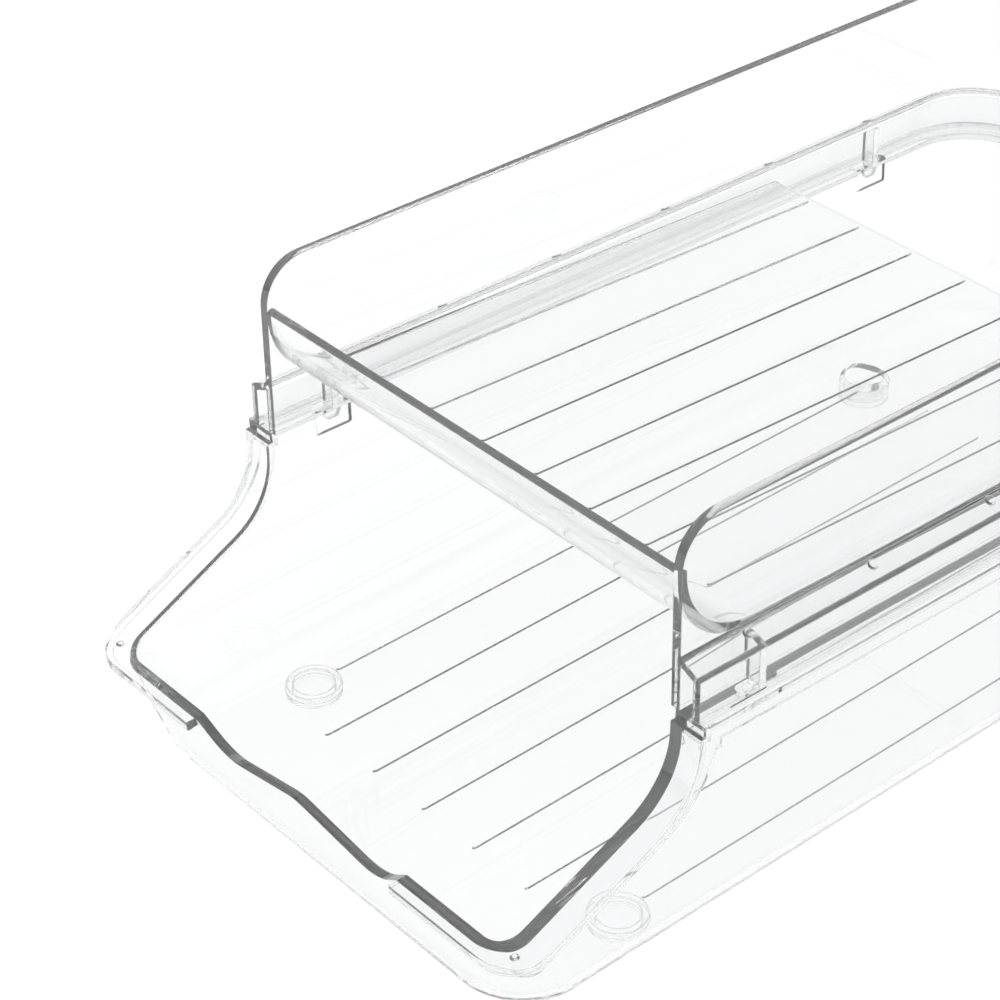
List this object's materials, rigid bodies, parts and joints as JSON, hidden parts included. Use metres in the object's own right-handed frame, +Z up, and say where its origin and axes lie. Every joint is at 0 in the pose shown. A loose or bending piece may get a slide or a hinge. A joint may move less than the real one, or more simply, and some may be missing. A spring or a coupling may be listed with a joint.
{
  "type": "can dispenser",
  "caption": "Clear two-tier rolling can dispenser: an upper tray with a sloping can ramp snaps onto a lower bin with a low scooped front.",
  "frame": {"origin": "on the shelf under the middle of the footprint", "axes": "+X to the user's right across the lanes, +Y from the front mouth to the back, +Z up"},
  "size_m": [0.1584, 0.303, 0.1138],
  "materials": {
    "clear_plastic": "clear moulded styrene, polished",
    "clear_pad": "clear soft silicone"
  },
  "bodies": {
    "bin": {"lower_bin": "clear_plastic", "foot_pad_front_left": "clear_pad", "foot_pad_front_right": "clear_pad", "foot_pad_rear_left": "clear_pad", "foot_pad_rear_right": "clear_pad"},
    "tray": {"upper_tray": "clear_plastic"}
  },
  "joints": [
    {"name": "tray_lift", "type": "slide", "parent": "bin", "child": "tray", "axis": [0, 0, 1], "range_m": [0, 0.08]}
  ]
}
